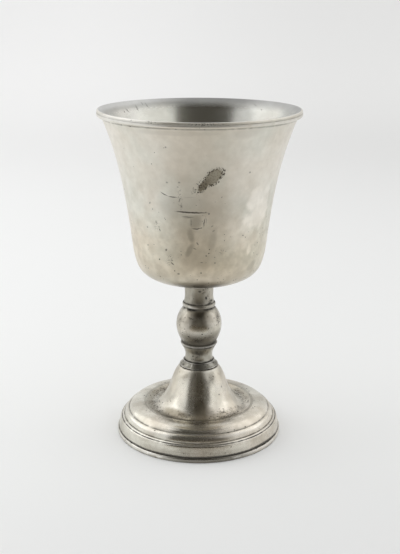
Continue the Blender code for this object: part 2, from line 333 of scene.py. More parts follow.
def corrode_ring(material, inner, outer, front=None):
    """Corrodes a material in a ring about the axis, between these radii, and most of all at the front where
    a width is given. Gives the distance from the axis, and the ring."""
    x, y, z = axes_of(material.node_tree)
    radius = worked("SQRT", worked("ADD", times(x, x), times(y, y)))
    middle = (inner + outer) / 2
    ring = times(ramp(radius, inner, middle), ramp(radius, outer, middle))
    if front:
        narrow = ramp(worked("ABSOLUTE", x), front, 0.3 * front)
        ahead = times(narrow, ramp(y, 0.0, -inner))
        ring = times(ring, scaled(ahead, 0.85, 0.15))
    feed(skin_of(material)[1].inputs["Corroded"], ring)
    return radius, ring


score, given, gives = new_group(
    "scored_mark",
    {"Float": ("Across", "Up", "Centre Across", "Centre Up", "Tilt", "Half Length", "Half Width", "Bow")},
    {"Float": ("Line", "Patch")},
)
side = worked("SUBTRACT", given["Across"], given["Centre Across"])
rise = worked("SUBTRACT", given["Up"], given["Centre Up"])
cosine, sine = worked("COSINE", given["Tilt"]), worked("SINE", given["Tilt"])
ahead = worked("ADD", times(side, cosine), times(rise, sine))
beside = worked("SUBTRACT", times(rise, cosine), times(side, sine))
ahead = worked("DIVIDE", ahead, given["Half Length"])
squared = times(ahead, ahead)
beside = worked("SUBTRACT", beside, times(squared, given["Bow"]))
beside = worked("ABSOLUTE", worked("DIVIDE", beside, given["Half Width"]))
taper = inverse(squared, clamp=True)
feed(gives["Line"], ramp(worked("SUBTRACT", taper, beside), 0.0, 0.8))
ellipse = worked("SQRT", worked("ADD", squared, times(beside, beside)))
feed(gives["Patch"], ramp(ellipse, 1.15, 0.35))


def face_place(material, radius, datum):
    """Where a point of a turned piece lies on its outer face, for marks: millimetres across from the front,
    taken at this radius, and millimetres up from the datum. Both are shaken a little, as struck and eaten
    edges are."""
    tree = material.node_tree
    x, y, z = axes_of(tree)
    shift = scaled(noise_at(place_node(tree, "TexCoord").outputs["Object"], 900.0, 3.0), 0.7, -0.35)
    across = scaled(worked("ARCTAN2", x, times(y, -1.0)), 1000.0 * radius, shift)
    up = scaled(z, 1000.0, scaled(shift, -0.8, -1000.0 * datum))
    return across, up


def marks(face, listed, kind="Patch"):
    """The heaviest, at each point of a face, of a list of marks, as soft patches or as tapered lines. A mark
    is its centre across and up, half length, half width and weight, then its tilt in degrees and its bow, if
    any. Lengths are in millimetres."""
    total = None
    for mark in listed:
        centre_across, centre_up, half_length, half_width, weight, tilt, bow = (*mark, 0.0, 0.0)[:7]
        made = node_near(face, "Group", node_tree=score)
        values = (*face, centre_across, centre_up, math.radians(tilt), half_length, half_width, bow)
        for socket, value in zip(made.inputs, values):
            feed(socket, value)
        mask = times(made.outputs[kind], weight)
        total = mask if total is None else most(total, mask)
    return total


def dress(piece, node, material):
    """Gives a piece its material and lets it stand for its node."""
    piece.data.materials.append(material)
    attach(piece, "root")
    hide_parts(node)


ring_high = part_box("base_ring")[1]
ring_radius, ring_height = ring_high.x, ring_high.z
ring_width, ring_edge = 0.0028, 0.0007
ring_flat, ring_inner = ring_radius - ring_edge, ring_radius - ring_width
ring_top, ring_shoulder = (ring_flat, ring_height), (ring_radius, ring_height - ring_edge)
ring_foot = (ring_flat, 0.0)
outline = [(ring_inner, ring_height), ring_top]
outline += sweep(ring_top, 0, ring_shoulder, 90, 8)
outline += straight(ring_shoulder, (ring_radius, ring_edge), 4)
outline += sweep(outline[-1], 90, ring_foot, 180, 8)
outline += [(ring_inner, 0.0)]
# Painted shadow in the gap under the skirt and along the bead's foot on the floor.
ring_creases = [(ring_top, 0.0003, 0.7), (ring_foot, 0.0006, 1.0)]
ring_edges = [(ring_shoulder, 0.0005, 0.9)]
base_ring = turned("base_bead", outline, facets=288, creases=ring_creases, edges=ring_edges)
bead_pewter = pewter("bead_pewter", (0.80, 0.768, 0.705), (0.40, 0.365, 0.305), 0.15, 0.30, 0.8)
shader, skin = skin_of(bead_pewter)
face = face_place(bead_pewter, ring_radius, datum=0.0)
# Knocks on the bead, lightened as knocked wear and as painted highlights, most along its left.
knocks_and_highlights = marks(face, [
    (-28, 1.5, 5, 0.7, 1, 4), (-20.5, 1.3, 2.2, 0.6, 0.9), (-37, 1.4, 3.4, 0.7, 0.8),
    (20, 1.4, 2.6, 0.4, 0.5), (66, 1.4, 4, 0.7, 0.9), (-90, 1.4, 5, 0.7, 0.9),
])
# Darkening across the bead's front is painted dark reflection and shade; at the sides and back it is soot.
soot_and_dark_reflection = marks(face, [(4, 1.4, 29, 4, 0.8), (100, 1.4, 20, 4, 0.6), (-120, 1.4, 24, 4, 0.6)])
tint = mix(soot_and_dark_reflection, skin.outputs["Color"], (0.12, 0.108, 0.085))
feed(shader.inputs["Base Color"], mix(knocks_and_highlights, tint, (0.92, 0.90, 0.86)))
feed(shader.inputs["Metallic"], most(skin.outputs["Metal"], knocks_and_highlights))
dress(base_ring, "base_ring", bead_pewter)


# Foot dish: the wide cast foot, turned in one run from the domed crown over a broad ovolo and two
# narrow beads to a flared skirt, and hollow underneath. Dirt and painted shade sit in the creases between
# the mouldings, and painted highlights and painted dark reflection lie on the crown.

dish_low, dish_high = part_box("foot_dish")
dish_foot, dish_top = dish_low.z, dish_high.z
skirt_foot = dish_high.x
skirt_batter, skirt_rise = 0.0010, 0.0049
fillet_width, fillet_rise = 0.0008, 0.0008
bead_width, bead_rise = 0.0013, 0.0007
ovolo_width, ovolo_rise = 0.0025, 0.0034
crown_rise, crown_slope = 0.0028, 10.0
recess_radius, recess_depth = 0.0290, 0.0024
dish_wall, hole_radius = 0.0021, 0.0195
skirt = (skirt_foot - skirt_batter, dish_foot + skirt_rise)
fillet = (skirt[0] - fillet_width, skirt[1] + fillet_rise)
bead = (fillet[0] - bead_width, fillet[1] + bead_rise)
ovolo = (bead[0] - ovolo_width, bead[1] + ovolo_rise)
crown = (recess_radius + 0.5 * (ovolo[0] - recess_radius), ovolo[1] + crown_rise)
recess_floor = dish_top - recess_depth
dish_ceiling = recess_floor - dish_wall
outline = [(recess_radius, dish_top)]
outline += sweep(outline[-1], 0, crown, crown_slope, 12)
outline += sweep(crown, crown_slope, ovolo, 64, 18)
outline += sweep(ovolo, 8, bead, 84, 16)
outline += sweep(bead, 4, fillet, 84, 10)
outline += sweep(fillet, 4, skirt, 80, 8)
outline += straight(skirt, (skirt_foot, dish_foot), 10)
outline += [(skirt_foot - dish_wall, dish_foot)]
outline += straight(outline[-1], (skirt[0] - dish_wall, skirt[1]), 6)
outline += straight(outline[-1], (ovolo[0] - dish_wall, bead[1]), 6)
outline += straight(outline[-1], (crown[0], dish_ceiling), 4)
outline += straight(outline[-1], (hole_radius, dish_ceiling), 10)
outline += [(hole_radius, recess_floor), (recess_radius, recess_floor)]
# The creases carry painted shade with dirt; the one at the skirt's foot is the painted shadow above the base
# ring.
foot_creases = [
    (ovolo, 0.00034, 0.55),
    (bead, 0.00032, 0.65),
    (fillet, 0.00032, 0.8),
    ((skirt_foot, dish_foot), 0.0004, 0.75),
]
# The moulding edges are lightened as wear and as painted highlight.
foot_edges = [
    ((fillet[0] + 0.0006, fillet[1]), 0.0003, 0.5),
    ((bead[0] + 0.0010, bead[1] - 0.0001), 0.0004, 0.5),
    ((ovolo[0] + 0.0018, ovolo[1] - 0.0008), 0.0008, 0.35),
]
foot_dish = turned("moulded_foot", outline, facets=288, creases=foot_creases, edges=foot_edges)
foot_pewter = pewter("foot_pewter", (0.80, 0.768, 0.702), (0.47, 0.432, 0.366), 0.15, 0.12, 0.75)
pitted_inner, pitted_outer, pitted_front = 0.0258, 0.0322, 0.022
foot_radius = corrode_ring(foot_pewter, pitted_inner, pitted_outer, pitted_front)[0]
shader, skin = skin_of(foot_pewter)
face = face_place(foot_pewter, skirt_foot, datum=dish_foot)
# Painted shadow along the gap between the skirt and the base ring.
painted_gap_shadow = marks(face, [
    (22, 0.2, 26, 0.7, 0.9), (38, 0.3, 16, 1, 0.95), (4, 0.2, 22, 0.7, 0.9), (-17, 0.2, 16, 0.8, 0.9),
    (-34, 0.2, 14, 0.6, 0.6), (80, 0.3, 20, 0.8, 0.8), (-90, 0.3, 24, 0.8, 0.8),
])
# Painted dark reflection over the front of the crown and painted shadow along the skirt's foot, with two
# darker patches at the sides.
darkened = marks(face, [
    (0, 9.6, 21, 11, 0.42), (-2, 1.4, 32, 2.6, 0.42), (96, 9, 16, 9, 0.3), (-118, 9, 14, 9, 0.25),
])
# Painted highlights on the crown's right and left.
painted_highlights = marks(face, [(43, 12, 22, 7, 1), (-42, 9, 17, 8, 0.7)])
# Painted dark reflection on the front of the crown, strongest next to the pitted ring.
painted_front_shade = marks(face, [(0, 13, 31, 10, 0.85)])
darkening_from, shade_from, shade_to = 0.0306, 0.0328, 0.0302
grimy = times(ramp(foot_radius, darkening_from, recess_radius), 0.12)
darkened = most(darkened, grimy, times(ramp(foot_radius, shade_from, shade_to), painted_front_shade))
tint = mix(painted_highlights, skin.outputs["Color"], (1.23, 1.23, 1.23), "MULTIPLY")
tint = mix(darkened, tint, (0.17, 0.148, 0.110))
feed(shader.inputs["Base Color"], mix(painted_gap_shadow, tint, (0.045, 0.040, 0.030)))
feed(shader.inputs["Metallic"], times(skin.outputs["Metal"], scaled(painted_gap_shadow, -0.7, 1.0)))
dress(foot_dish, "foot_dish", foot_pewter)


# Trumpet: the bell-shaped rise, cast hollow, with a dished flange let into the crown of the foot
# and a pierced cap above that takes the stem's spigot.

bell_low, bell_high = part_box("trumpet")
bell_foot, bell_top = bell_low.z, bell_high.z
flange_radius = bell_high.x
valley_radius, valley_depth = 0.0243, 0.0011
flare_radius, flare_rise, flare_slope = 0.0196, 0.0028, 48.0
shoulder_radius, shoulder_rise, shoulder_slope = 0.0144, 0.0104, 72.0
bell_neck_radius, bore = 0.0100, 0.0065
bell_wall, cap_thickness = 0.0020, 0.0024
wall_in, wall_down = 0.93 * bell_wall, 0.37 * bell_wall
valley = (valley_radius, dish_top - valley_depth)
flare = (flare_radius, valley[1] + flare_rise)
shoulder = (shoulder_radius, flare[1] + shoulder_rise)
bell_neck = (bell_neck_radius, bell_top)
cap_foot = bell_top - cap_thickness
side = [bell_neck]
side += sweep(bell_neck, 45, shoulder, shoulder_slope, 20)
side += sweep(shoulder, shoulder_slope, flare, flare_slope, 26)
outline = [(bore, bell_top)] + side
outline += sweep(flare, flare_slope, valley, 0, 16)
outline += sweep(valley, 0, (flange_radius, dish_top), -26, 10)
outline += [(flange_radius, bell_foot)]
inner = [(r - wall_in, z - wall_down) for r, z in side]
inner = [(r, z) for r, z in inner if bell_foot < z < cap_foot]
outline += [(inner[-1][0], bell_foot)] + inner[::-1]
outline += [(inner[0][0], cap_foot), (bore, cap_foot)]
bell_creases, bell_edges = [(bell_neck, 0.0002, 0.6)], [(side[2], 0.0003, 0.4)]
trumpet = turned("bell", outline, facets=240, creases=bell_creases, edges=bell_edges)
bell_pewter = pewter("bell_pewter", (0.765, 0.728, 0.66), (0.46, 0.418, 0.35), 0.20, 0.36, 0.8)
bell_radius, ring = corrode_ring(bell_pewter, inner=0.0198, outer=0.0284)
shader, skin = skin_of(bell_pewter)
face = face_place(bell_pewter, shoulder_radius, datum=bell_top)
across, up = face
# Painted shade on the bell's top, under the collar.
painted_shade = times(ramp(up, -9.0, -1.5), 0.20)
# Stains, and two upright strips at the front middle that are painted dark reflection.
stains_and_dark_reflection = marks(face, [
    (-9, -3, 4, 1.6, 0.4, 20), (14, -2.6, 2.5, 1, 0.3, -30), (0.6, -18.5, 9, 3.8, 0.78, 90),
    (0.4, -7.5, 11, 3.4, 0.64, 90), (-8.8, -20.4, 8, 1.9, 0.75), (6.5, -20.8, 5, 1.2, 0.4),
    (-14, -17, 5, 2.6, 0.3, 60), (38, -6, 5, 2, 0.35, 40), (-34, -9, 6, 2.4, 0.35, -50),
])
# Painted highlights on the bell's left and right.
painted_highlights = marks(face, [
    (-9.5, -10.5, 10, 4.5, 0.85, 90), (-15, -7.5, 8, 4.4, 0.9, 90), (11.4, -15.2, 7, 5, 0.95, 80),
    (15.5, -17, 7, 3.4, 0.9, 70), (12.5, -5, 5.5, 3.6, 0.9, 60), (7, -12.5, 8, 2.4, 0.9, 84),
    (10, -19, 4, 3, 0.9, 60), (33, -14, 8, 5, 0.6, 90), (-36, -12, 9, 5, 0.6, 90),
])
tint = mix(times(painted_highlights, 0.8), skin.outputs["Color"], (1.30, 1.29, 1.27), "MULTIPLY")
# Wiped at the right of the valley, where the corrosion and darkening are lifted for a painted highlight.
wiped_and_highlit = marks(face, [(18, -20.5, 8, 5, 0.85)])
# Darkening towards the valley is dirt and painted shade in the hollow.
darkening_from, darkening_to, shade_from, shade_to = 0.0226, 0.0258, 0.0229, 0.0250
valley_grime_and_shade = times(ramp(bell_radius, darkening_from, darkening_to), 0.42)
pocked = marks(face, [
    (-7, -20.7, 5.5, 1.1, 1), (8.8, -19.9, 7, 1.5, 0.5, -6), (7.4, -4.8, 4, 2.4, 0.36, 60),
    (3.4, -10, 4.5, 1.2, 0.45, 84), (-8.6, -5, 3.6, 1.8, 0.5, 70), (-30, -8, 6, 2.6, 0.5, 70),
])
ring = times(ring, scaled(wiped_and_highlit, -0.5, 1.0))
feed(skin.inputs["Corroded"], most(ring, pocked))
painted_shade = most(painted_shade, times(valley_grime_and_shade, inverse(wiped_and_highlit)))
tint = mix(most(painted_shade, stains_and_dark_reflection), tint, (0.24, 0.205, 0.145))
# Painted shade in the valley at the bell's front.
painted_front_shade = marks(face, [(-6.4, -20.6, 7, 4, 1), (5.5, -20.8, 7, 4, 0.6)])
painted_front_shade = times(painted_front_shade, ramp(bell_radius, shade_from, shade_to))
tint = mix(painted_front_shade, tint, (0.13, 0.115, 0.09))
feed(shader.inputs["Base Color"], tint)
dress(trumpet, "trumpet", bell_pewter)


# Flange solder: soft solder run into the groove round the bell's flange and wiped level. It has
# corroded into a ring of small dark pits.

wipe_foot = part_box("flange_solder")[0].z
hair = 0.00002
outline = [(flange_radius + hair, dish_top), (recess_radius - hair, dish_top)]
outline += [(recess_radius - hair, wipe_foot), (flange_radius + hair, wipe_foot)]
solder_pewter = pewter("old_solder", (0.50, 0.472, 0.415), (0.30, 0.272, 0.222), 0.16, 0.14, 0.75)
corrode_ring(solder_pewter, inner=0.0215, outer=0.0314, front=pitted_front)
flange_solder = turned("flange_wipe", outline, facets=240)
dress(flange_solder, "flange_solder", solder_pewter)


# Joint collar: a tapered ring with a raised edge above and below, threaded on the stem's spigot and
# soldered to stem and bell. Its band is rough and black between the two edges, with old dirt and painted
# shade in the recess, and painted highlights and painted dark reflection lie across its front.

collar_low, collar_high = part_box("joint_collar")
collar_foot, collar_top = collar_low.z, collar_high.z
collar_foot_radius, collar_top_radius = collar_high.x, 0.0083
raised, recess = 0.0006, 0.0003
half = raised / 2
top_edge, foot_edge = (collar_top_radius, collar_top - half), (collar_foot_radius, collar_foot + half)
band_top = (collar_top_radius - recess, collar_top - raised)
band_foot = (collar_foot_radius - recess - half, collar_foot + raised)
outline = [(bore, collar_top), (collar_top_radius - half, collar_top)]
outline += sweep(outline[-1], 0, top_edge, 90, 6)
outline += sweep(top_edge, 90, band_top, 150, 5)
outline += straight(band_top, band_foot, 12)
outline += sweep(band_foot, 20, foot_edge, 90, 6)
outline += sweep(foot_edge, 90, (collar_foot_radius - half, collar_foot), 170, 5)
outline += [(bore, collar_foot)]
band_shade_and_dirt = [(point, 0.0004, 0.16) for point in [band_top] + straight(band_top, band_foot, 5)]
band_shade_and_dirt += [(band_top, 0.0003, 0.5)]
collar_edges = [(edge, 0.0004, 0.8) for edge in (top_edge, foot_edge)]
collar = turned("tapered_collar", outline, facets=160, creases=band_shade_and_dirt, edges=collar_edges)
collar_pewter = pewter("collar_pewter", (0.62, 0.595, 0.535), (0.22, 0.204, 0.168), 0.22, 0.7, 0.9)
shader, skin = skin_of(collar_pewter)
face = face_place(collar_pewter, collar_foot_radius, datum=(collar_foot + collar_top) / 2)
feed(skin.inputs["Corroded"], 0.45)
# Light patches: rubbed wear and painted highlights either side of the front.
rubbed_and_highlit = marks(face, [
    (-4.6, 0.2, 2, 0.6, 0.75, 80), (-8.2, -0.6, 1.4, 0.5, 0.45, 30), (8.6, 0.2, 2, 2.2, 0.5, 80),
    (22, 0, 2, 2.6, 0.45, 80), (-24, 0, 2, 2, 0.45, 80),
])
# Darkening at the front middle is painted dark reflection; the patch behind is soot.
soot_and_dark_reflection = marks(face, [(0.8, 0, 5.6, 3, 0.75), (26, 0, 7, 3, 0.5)])
tint = mix(soot_and_dark_reflection, skin.outputs["Color"], (0.05, 0.045, 0.035))
feed(shader.inputs["Base Color"], mix(rubbed_and_highlit, tint, (0.62, 0.60, 0.545)))
feed(shader.inputs["Metallic"], most(skin.outputs["Metal"], rubbed_and_highlit))
dress(collar, "joint_collar", collar_pewter)


# Stem: two hollow halves cast in one mould and soldered along an upright seam, then turned. From the
# bottom it has a spool, a cup-shaped collar, the ball knop, a collar bead and a plain neck.

stem_low, stem_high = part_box("stem_half_left")
spigot_foot, stem_top = stem_low.z, stem_high.z
joint_gap = 0.0003
spool_radius, spool_foot, spool_rise = 0.0071, 0.0079, 0.0029
cup_radius, cup_rise, cup_lip = 0.0096, 0.0061, 0.0007
ball_radius, ball_foot_radius, ball_top_radius = 0.0118, 0.0086, 0.0078
ball_below, ball_above = 0.0097, 0.0096
collar_bead_radius, collar_bead_height = 0.0086, 0.0024
neck_radius, neck_foot_radius = 0.0076, 0.0079
spigot_radius, stem_wall = 0.0062, 0.0034
seam_turn, seam_film = 25.0, 0.00005
stem_foot = collar_top + joint_gap
spool = (spool_radius, stem_foot + spool_rise)
cup = (cup_radius, spool[1] + cup_rise)
cup_edge = (cup_radius, cup[1] + cup_lip / 4)
ball_foot = (ball_foot_radius, cup[1] + cup_lip)
ball = (ball_radius, ball_foot[1] + ball_below)
ball_top = (ball_top_radius, ball[1] + ball_above)
neck_foot = (neck_foot_radius, ball_top[1] + collar_bead_height)
bead_edge = (collar_bead_radius, neck_foot[1] - collar_bead_height / 2)
outside = [(neck_radius, stem_top)]
outside += sweep(outside[-1], 90, neck_foot, 72, 12)
outside += sweep(neck_foot, 0, bead_edge, 90, 8)
outside += sweep(bead_edge, 90, ball_top, 170, 8)
outside += sweep(ball_top, 44, ball, 90, 20)
outside += sweep(ball, 90, ball_foot, 124, 20)
outside += sweep(ball_foot, 10, cup_edge, 90, 8)
outside += sweep(cup_edge, 90, (cup_radius - cup_lip / 2, cup[1] - cup_lip / 2), 170, 6)
outside += sweep(outside[-1], 112, spool, 90, 16)
outside += sweep(spool, 90, (spool_foot, stem_foot), 40, 12)
outside += [(spigot_radius, stem_foot), (spigot_radius, spigot_foot)]
neck_bore, spool_bore = neck_radius - stem_wall, spool_radius - stem_wall
cavity = (ball_radius - stem_wall, ball[1])
hollow = [(neck_bore, stem_top), (neck_bore, neck_foot[1])]
hollow += sweep(hollow[-1], 30, cavity, 90, 8)
hollow += sweep(cavity, 90, (spool_bore, cup[1]), 150, 8)
hollow += [(spool_bore, spigot_foot)]
outline = outside + hollow[::-1]
above_lip = (ball_foot_radius + 0.0004, ball_foot[1] + 0.0010)
below_lip = (cup_radius - cup_lip, cup[1] - cup_lip)
# The creases carry painted shade with dirt.
stem_creases = [
    (neck_foot, 0.0005, 0.8),
    (ball_top, 0.0010, 0.9),
    (above_lip, 0.0019, 0.62),
    (below_lip, 0.0007, 0.7),
    ((spool_foot, stem_foot), 0.0006, 0.9),
    ((neck_radius, stem_top), 0.0012, 0.7),
]
stem_edges = [(cup_edge, 0.0006, 0.95), (bead_edge, 0.0006, 0.7)]
stem_pewter = pewter("stem_pewter", (0.585, 0.56, 0.505), (0.28, 0.257, 0.21), 0.18, 0.50, 0.9, bare=0.94)
shader, skin = skin_of(stem_pewter)
face = face_place(stem_pewter, ball_radius, datum=ball[1])
across, up = face
bead_line, rim_line = 1000.0 * (neck_foot[1] - ball[1]), 1000.0 * (cup[1] - ball[1])
feed(skin.inputs["Corroded"], marks(face, [
    (8, bead_line + 3.2, 3, 2.2, 0.95, 70), (11, bead_line + 1.6, 3.5, 1, 0.95),
    (3.6, bead_line + 6.6, 2.4, 0.7, 0.85, 10), (-8, 8.6, 4.5, 0.8, 0.15, 6),
    (-5, 5.6, 2.4, 0.6, 0.4, -14), (13, 4.5, 4.5, 2.2, 0.6, 80), (-12.5, 2.5, 3, 1.6, 0.5, 70),
    (3, -5, 9, 1.4, 0.4), (-4, rim_line - 6.8, 6, 1.6, 0.85, 8), (1.5, rim_line - 5.4, 3, 1.8, 0.6, 60),
    (7, rim_line - 4.6, 3, 1.4, 0.5, 60), (24, 0, 6, 3, 0.6, 80), (-26, bead_line + 4, 4, 2.5, 0.7, 80),
]))
blots = marks(face, [
    (0.6, bead_line + 7.4, 1.5, 0.7, 0.8), (3.5, bead_line + 8.2, 0.9, 0.5, 0.6, 20),
    (6.1, bead_line + 3.6, 1.3, 1, 1, -30), (12.7, bead_line + 1.6, 1.1, 0.7, 0.9),
    (9.1, bead_line + 0.6, 2.4, 0.6, 0.9), (-6.8, 9.3, 2.4, 0.5, 0.7, 6),
    (-4.7, 5.7, 1.5, 0.4, 0.6, -10), (-8.8, 5.6, 0.5, 0.4, 0.5, 20), (5.5, 6.4, 0.4, 0.4, 0.5),
    (9.5, 5.2, 0.6, 0.4, 0.6, 30), (-9.4, 3.4, 0.6, 0.3, 0.5, -14), (1.7, -2.3, 0.6, 0.5, 0.75),
    (6.9, -2.2, 0.6, 0.4, 0.6), (-5.8, -4.2, 0.7, 0.5, 0.75), (8.9, -5.2, 0.7, 0.4, 0.65),
    (12.4, 2.4, 1.1, 0.5, 0.55, 60),
])
# Painted highlights on the ball's left and right, and on its sides behind.
painted_highlights = marks(face, [
    (-11.5, 1.6, 7, 5, 0.75, 84), (11.2, 2, 7.5, 5, 0.9, 96), (-8, 6.4, 4.2, 3, 0.85, 70),
    (28, 1, 7, 5, 0.5, 84), (-30, 2, 7, 5, 0.5, 96),
])
# Painted dark reflection down the front middle of the ball's lower half, the neck and the spool, and painted
# shade on the ball's top under the bead.
middle = scaled(ramp(worked("ABSOLUTE", across), 15.0, 5.0), 0.88, 0.12)
painted_shade = times(middle, ramp(up, -0.5, -5.0), ramp(up, rim_line - 0.5, rim_line + 1.0))
painted_shade = most(times(painted_shade, 0.88), marks(face, [
    (0.5, bead_line + 4.5, 7, 8, 0.45, 90), (1.2, 8.6, 4.8, 4, 1), (0.5, 0.8, 6.5, 2.2, 0.55),
    (0, rim_line - 4, 5, 6.5, 0.52, 90),
]))
tint = mix(painted_highlights, skin.outputs["Color"], (1.42, 1.43, 1.45), "MULTIPLY")
tint = mix(painted_shade, tint, (0.15, 0.135, 0.105))
tint = mix(blots, tint, (0.025, 0.022, 0.017))
feed(shader.inputs["Base Color"], tint)
feed(shader.inputs["Metallic"], times(skin.outputs["Metal"], scaled(blots, -0.8, 1.0)))
feed(skin.inputs["Roughness"], scaled(ramp(up, bead_line - 1.0, bead_line + 1.5), 0.13, 0.19))
half_film = math.degrees(seam_film / 2 / neck_radius)
half_turn = 180.0 - 2 * half_film
for name, node, start in (("stem_half_a", "stem_half_left", 180.0), ("stem_half_b", "stem_half_right", 0.0)):
    begin = -90.0 - seam_turn + start + half_film
    stem_half = turned(name, outline, 96, stem_creases, stem_edges, begin, half_turn)
    dress(stem_half, node, stem_pewter)


# Neck solder: a small fillet of soft solder, run in hot where the stem's neck meets the pad under the
# bowl. It is the same old, pitted solder as round the flange.

fillet_low, fillet_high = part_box("neck_solder")
pad_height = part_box("bowl")[0].z
outline = [(neck_radius + hair, pad_height - hair), (fillet_high.x, pad_height - hair)]
outline += sweep(outline[-1], 170, (neck_radius + hair, fillet_low.z), 100, 10)
neck_solder = turned("neck_fillet", outline, facets=120)
dress(neck_solder, "neck_solder", solder_pewter)


# Bowl: one thin shell of cast pewter, turned inside and out, with a flared wall, a rounded heel and a
# narrow moulded lip. It is dented, scored and stained from long use, and painted highlights and painted
# shade lie on it, inside and out.

bowl_low, bowl_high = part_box("bowl")
bowl_foot, bowl_top = bowl_low.z, bowl_high.z
lip_radius = bowl_high.x
pad_radius = 0.0105
heel_radius, heel_rise, heel_slope = 0.0317, 0.0108, 112.0
waist_radius, waist_rise, waist_slope = 0.0350, 0.0293, 98.0
lip_neck_radius, lip_height, neck_slope = 0.0481, 0.0040, 113.0
lip_flat, lip_edge, lip_roll, bowl_wall = 0.0003, 0.0008, 0.0009, 0.0019
score_depth, score_drop = 0.00012, 0.0014
heel = (heel_radius, bowl_foot + heel_rise)
waist = (waist_radius, bowl_foot + waist_rise)
lip_neck = (lip_neck_radius, bowl_top - lip_height)
wall = [lip_neck]
wall += sweep(lip_neck, neck_slope, waist, waist_slope, 64)
wall += sweep(waist, waist_slope, heel, heel_slope, 24)
wall += sweep(heel, heel_slope, (pad_radius, bowl_foot), 164, 36)
inside = []
for index, (radius, height) in enumerate(wall):
    before, after = wall[max(index - 1, 0)], wall[min(index + 1, len(wall) - 1)]
    run, rise = after[0] - before[0], after[1] - before[1]
    reach = bowl_wall / math.hypot(run, rise)
    inside.append((radius + reach * rise, height - reach * run))
lip_inner = lip_radius - lip_edge - lip_flat
outline = [(0.0, bowl_foot + bowl_wall), (inside[-1][0], bowl_foot + bowl_wall)] + inside[-2::-1]
outline += sweep(outline[-1], -66, (lip_inner, bowl_top), -42, 10)
inside_count = len(outline) - 1
lip_outer = (lip_inner + lip_flat, bowl_top)
outline += [lip_outer] + sweep(lip_outer, 0, (lip_radius - score_depth, bowl_top - score_drop), 90, 8)
lip_score = (lip_radius - 2 * score_depth, bowl_top - score_drop - score_depth)
outline += [lip_score, (lip_radius - score_depth / 2, lip_score[1] - score_depth)]
lip_belly = (lip_radius, lip_score[1] - lip_roll)
outline += sweep(outline[-1], 84, lip_belly, 90, 5)
outline += sweep(lip_belly, 90, lip_neck, 168, 10)
outline += wall[1:] + [(0.0, bowl_foot)]
# Painted shade with dirt in the lip's creases, and painted shade round the pad, under the bowl by the neck.
bowl_creases = [
    (lip_neck, 0.00045, 0.40),
    (lip_score, 0.00025, 0.32),
    ((pad_radius, bowl_foot), 0.0032, 0.75),
]
bowl_edges = [(lip_belly, 0.0008, 0.8), (lip_outer, 0.0006, 1.0)]
bowl = turned("flared_bowl", outline, 320, bowl_creases, bowl_edges, inside=inside_count)


def dent(piece, azimuth, height, half_width, half_height, depth):
    """Pushes both skins of a turned piece inwards in one soft dent, with its azimuth from the front."""
    mesh = piece.data
    points = np.empty(len(mesh.vertices) * 3, np.float32)
    mesh.vertices.foreach_get("co", points)
    points = points.reshape(-1, 3)
    radius = np.maximum(np.hypot(points[:, 0], points[:, 1]), 1e-6)
    turn = np.arctan2(points[:, 0], -points[:, 1]) - math.radians(azimuth)
    turn = (turn + math.pi) % (2 * math.pi) - math.pi
    fall = np.exp(-((turn * radius / half_width) ** 2) - ((points[:, 2] - height) / half_height) ** 2)
    points[:, :2] *= (1 - depth * fall / radius)[:, None]
    mesh.vertices.foreach_set("co", points.ravel())
    mesh.update()


lump_depth, lump_spacing, lump_start = 0.00028, 0.030, Vector((3.7, 3.7, 3.7))
lump_top, lump_fade, nearest = lip_neck[1] + 0.001, 0.012, 0.004
rim_dip = 0.0009
for vertex in bowl.data.vertices:
    lump = noise.noise(vertex.co / lump_spacing + lump_start)
    fade = min(1.0, max(0.0, lump_top - vertex.co.z) / lump_fade)
    reach = max(math.hypot(vertex.co.x, vertex.co.y), nearest)
    vertex.co.xy *= 1 + lump_depth * lump * fade / reach
    front = max(0.0, -vertex.co.y / reach) ** 1.5
    vertex.co.z -= rim_dip * front * max(0.0, (vertex.co.z - lip_neck[1]) / lip_height)
for azimuth, height, half_width, half_height, depth in (
    (44.0, 0.0405, 0.0085, 0.0080, 0.00016),
    (34.0, 0.0330, 0.0085, 0.0080, 0.00012),
    (30.0, 0.0520, 0.0095, 0.0080, 0.00012),
    (-38.0, 0.0360, 0.0090, 0.0100, 0.00025),
    (8.0, 0.0200, 0.0090, 0.0060, 0.00025),
    (-12.0, 0.0620, 0.0110, 0.0080, 0.00018),
    (120.0, 0.0300, 0.0090, 0.0070, 0.00040),
    (205.0, 0.0500, 0.0080, 0.0090, 0.00035),
    (-100.0, 0.0420, 0.0070, 0.0080, 0.00035),
):
    dent(bowl, azimuth, bowl_foot + height, half_width, half_height, depth)

